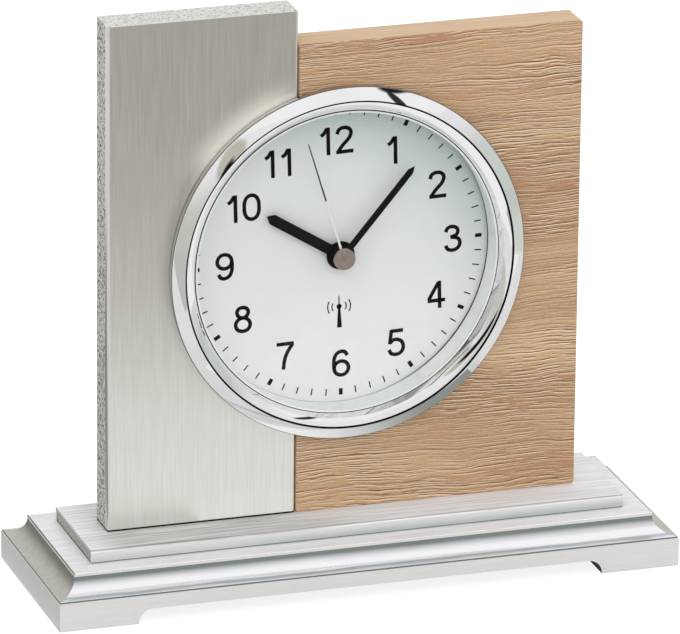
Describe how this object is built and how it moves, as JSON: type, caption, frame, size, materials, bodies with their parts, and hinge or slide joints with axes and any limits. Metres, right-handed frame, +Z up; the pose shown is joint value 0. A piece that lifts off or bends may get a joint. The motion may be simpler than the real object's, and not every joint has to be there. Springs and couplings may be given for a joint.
{
  "type": "table clock",
  "caption": "Free-standing table clock: tall brushed-metal panel and lower oak panel on a moulded silver base, with a round chrome-ringed analogue dial and a radio-controlled movement.",
  "frame": {"origin": "under the middle of the base, on the surface that the clock stands on", "axes": "+X to the right along the base, +Y to the back, +Z up; the dial faces -Y"},
  "size_m": [0.19, 0.0628, 0.1734],
  "materials": {
    "satin_silver": "satin silver with polished cove",
    "brushed_aluminium": "brushed",
    "speckled_lacquer": "silver-grey speckled lacquer on board",
    "oak": "matt oiled oak",
    "core_board": "fibre board stained black",
    "felt": "black felt",
    "steel": "zinc-plated",
    "chrome": "polished",
    "clear_glass": "clear mineral glass",
    "gasket_rubber": "matt",
    "dial_white": "matt printed",
    "black_plastic": "fine spark texture",
    "white_plastic": "moulded",
    "hand_black": "satin black",
    "hand_silver": "polished",
    "cap_taupe": "satin metallic",
    "copper": "enamelled wire",
    "ferrite": "sintered",
    "magnet": "sintered",
    "circuit_green": "solder mask",
    "battery_jacket": "printed foil",
    "button_grey": "moulded"
  },
  "bodies": {
    "stand": {"base_moulding_front": "satin_silver", "base_moulding_rear": "satin_silver", "base_moulding_left": "satin_silver", "base_moulding_right": "satin_silver", "felt_pad_1": "felt", "felt_pad_2": "felt", "felt_pad_3": "felt", "felt_pad_4": "felt", "panel_screw_1": "steel", "panel_screw_2": "steel", "panel_screw_3": "steel", "panel_screw_4": "steel", "base_core": "core_board", "step_board": "speckled_lacquer", "step_sheet": "brushed_aluminium", "metal_panel_sheet": "brushed_aluminium", "metal_panel_board": "speckled_lacquer", "oak_panel": "oak", "bezel_ring": "chrome", "glass": "clear_glass", "glass_gasket": "gasket_rubber", "reflector_ring": "chrome", "dial": "dial_white", "case_cup": "black_plastic", "retaining_ring": "black_plastic", "ring_screw_1": "steel", "ring_screw_2": "steel", "ring_screw_3": "steel", "movement_screw_1": "steel", "movement_screw_2": "steel", "minute_stator": "steel", "seconds_stator": "steel", "minute_coil": "copper", "seconds_coil": "copper", "movement_front_case": "black_plastic", "movement_rear_cover": "black_plastic", "train_bridge": "white_plastic", "circuit_board": "circuit_green", "quartz_crystal": "steel", "ferrite_rod": "ferrite", "antenna_winding": "copper", "battery_contact_positive": "steel", "battery_contact_negative": "steel"},
    "hour_work": {"hour_hand": "hand_black", "hour_wheel": "white_plastic"},
    "minute_work": {"minute_hand": "hand_black", "minute_wheel": "white_plastic"},
    "seconds_work": {"second_hand": "hand_silver", "second_hand_cap": "cap_taupe", "seconds_wheel": "white_plastic"},
    "motion_work": {"motion_work_wheel": "white_plastic"},
    "third_arbor": {"third_wheel": "white_plastic"},
    "fifth_arbor": {"fifth_wheel": "white_plastic"},
    "minute_rotor_arbor": {"minute_rotor": "magnet"},
    "seconds_rotor_arbor": {"seconds_rotor": "magnet"},
    "set_key": {"set_button": "button_grey"},
    "receive_key": {"receive_button": "button_grey"},
    "reset_key": {"reset_button": "button_grey"},
    "battery_cell": {"battery": "battery_jacket"}
  },
  "joints": [
    {"name": "minute_turn", "type": "hinge", "parent": "stand", "child": "minute_work", "pos_m": [-0.0011, 0, 0.0964], "axis": [0, 1, 0], "continuous": true},
    {"name": "hour_turn", "type": "hinge", "parent": "stand", "child": "hour_work", "pos_m": [-0.0011, 0, 0.0964], "axis": [0, 1, 0], "continuous": true},
    {"name": "seconds_turn", "type": "hinge", "parent": "stand", "child": "seconds_work", "pos_m": [-0.0011, 0, 0.0964], "axis": [0, 1, 0], "continuous": true},
    {"name": "motion_work_turn", "type": "hinge", "parent": "stand", "child": "motion_work", "pos_m": [0.0109, 0, 0.0964], "axis": [0, 1, 0], "continuous": true},
    {"name": "third_wheel_turn", "type": "hinge", "parent": "stand", "child": "third_arbor", "pos_m": [-0.0067, 0, 0.1061], "axis": [0, 1, 0], "continuous": true},
    {"name": "fifth_wheel_turn", "type": "hinge", "parent": "stand", "child": "fifth_arbor", "pos_m": [0.0045, 0, 0.1061], "axis": [0, 1, 0], "continuous": true},
    {"name": "minute_rotor_turn", "type": "hinge", "parent": "stand", "child": "minute_rotor_arbor", "pos_m": [-0.01572, 0, 0.10938], "axis": [0, 1, 0], "continuous": true},
    {"name": "seconds_rotor_turn", "type": "hinge", "parent": "stand", "child": "seconds_rotor_arbor", "pos_m": [0.01352, 0, 0.10938], "axis": [0, 1, 0], "continuous": true},
    {"name": "set_press", "type": "slide", "parent": "stand", "child": "set_key", "axis": [0, -1, 0], "range_m": [0, 0.0005], "stiffness_N_per_m": 400},
    {"name": "receive_press", "type": "slide", "parent": "stand", "child": "receive_key", "axis": [0, -1, 0], "range_m": [0, 0.0005], "stiffness_N_per_m": 400},
    {"name": "reset_press", "type": "slide", "parent": "stand", "child": "reset_key", "axis": [0, -1, 0], "range_m": [0, 0.0005], "stiffness_N_per_m": 400},
    {"name": "battery_lift", "type": "slide", "parent": "stand", "child": "battery_cell", "axis": [0, 1, 0], "range_m": [0, 0.02]}
  ],
  "couplings": [
    {"joint": "hour_turn", "follows": "minute_turn", "ratio": 0.083333},
    {"joint": "motion_work_turn", "follows": "minute_turn", "ratio": -0.33333},
    {"joint": "third_wheel_turn", "follows": "minute_turn", "ratio": -6},
    {"joint": "minute_rotor_turn", "follows": "minute_turn", "ratio": 30},
    {"joint": "fifth_wheel_turn", "follows": "seconds_turn", "ratio": -6},
    {"joint": "seconds_rotor_turn", "follows": "seconds_turn", "ratio": 30}
  ]
}
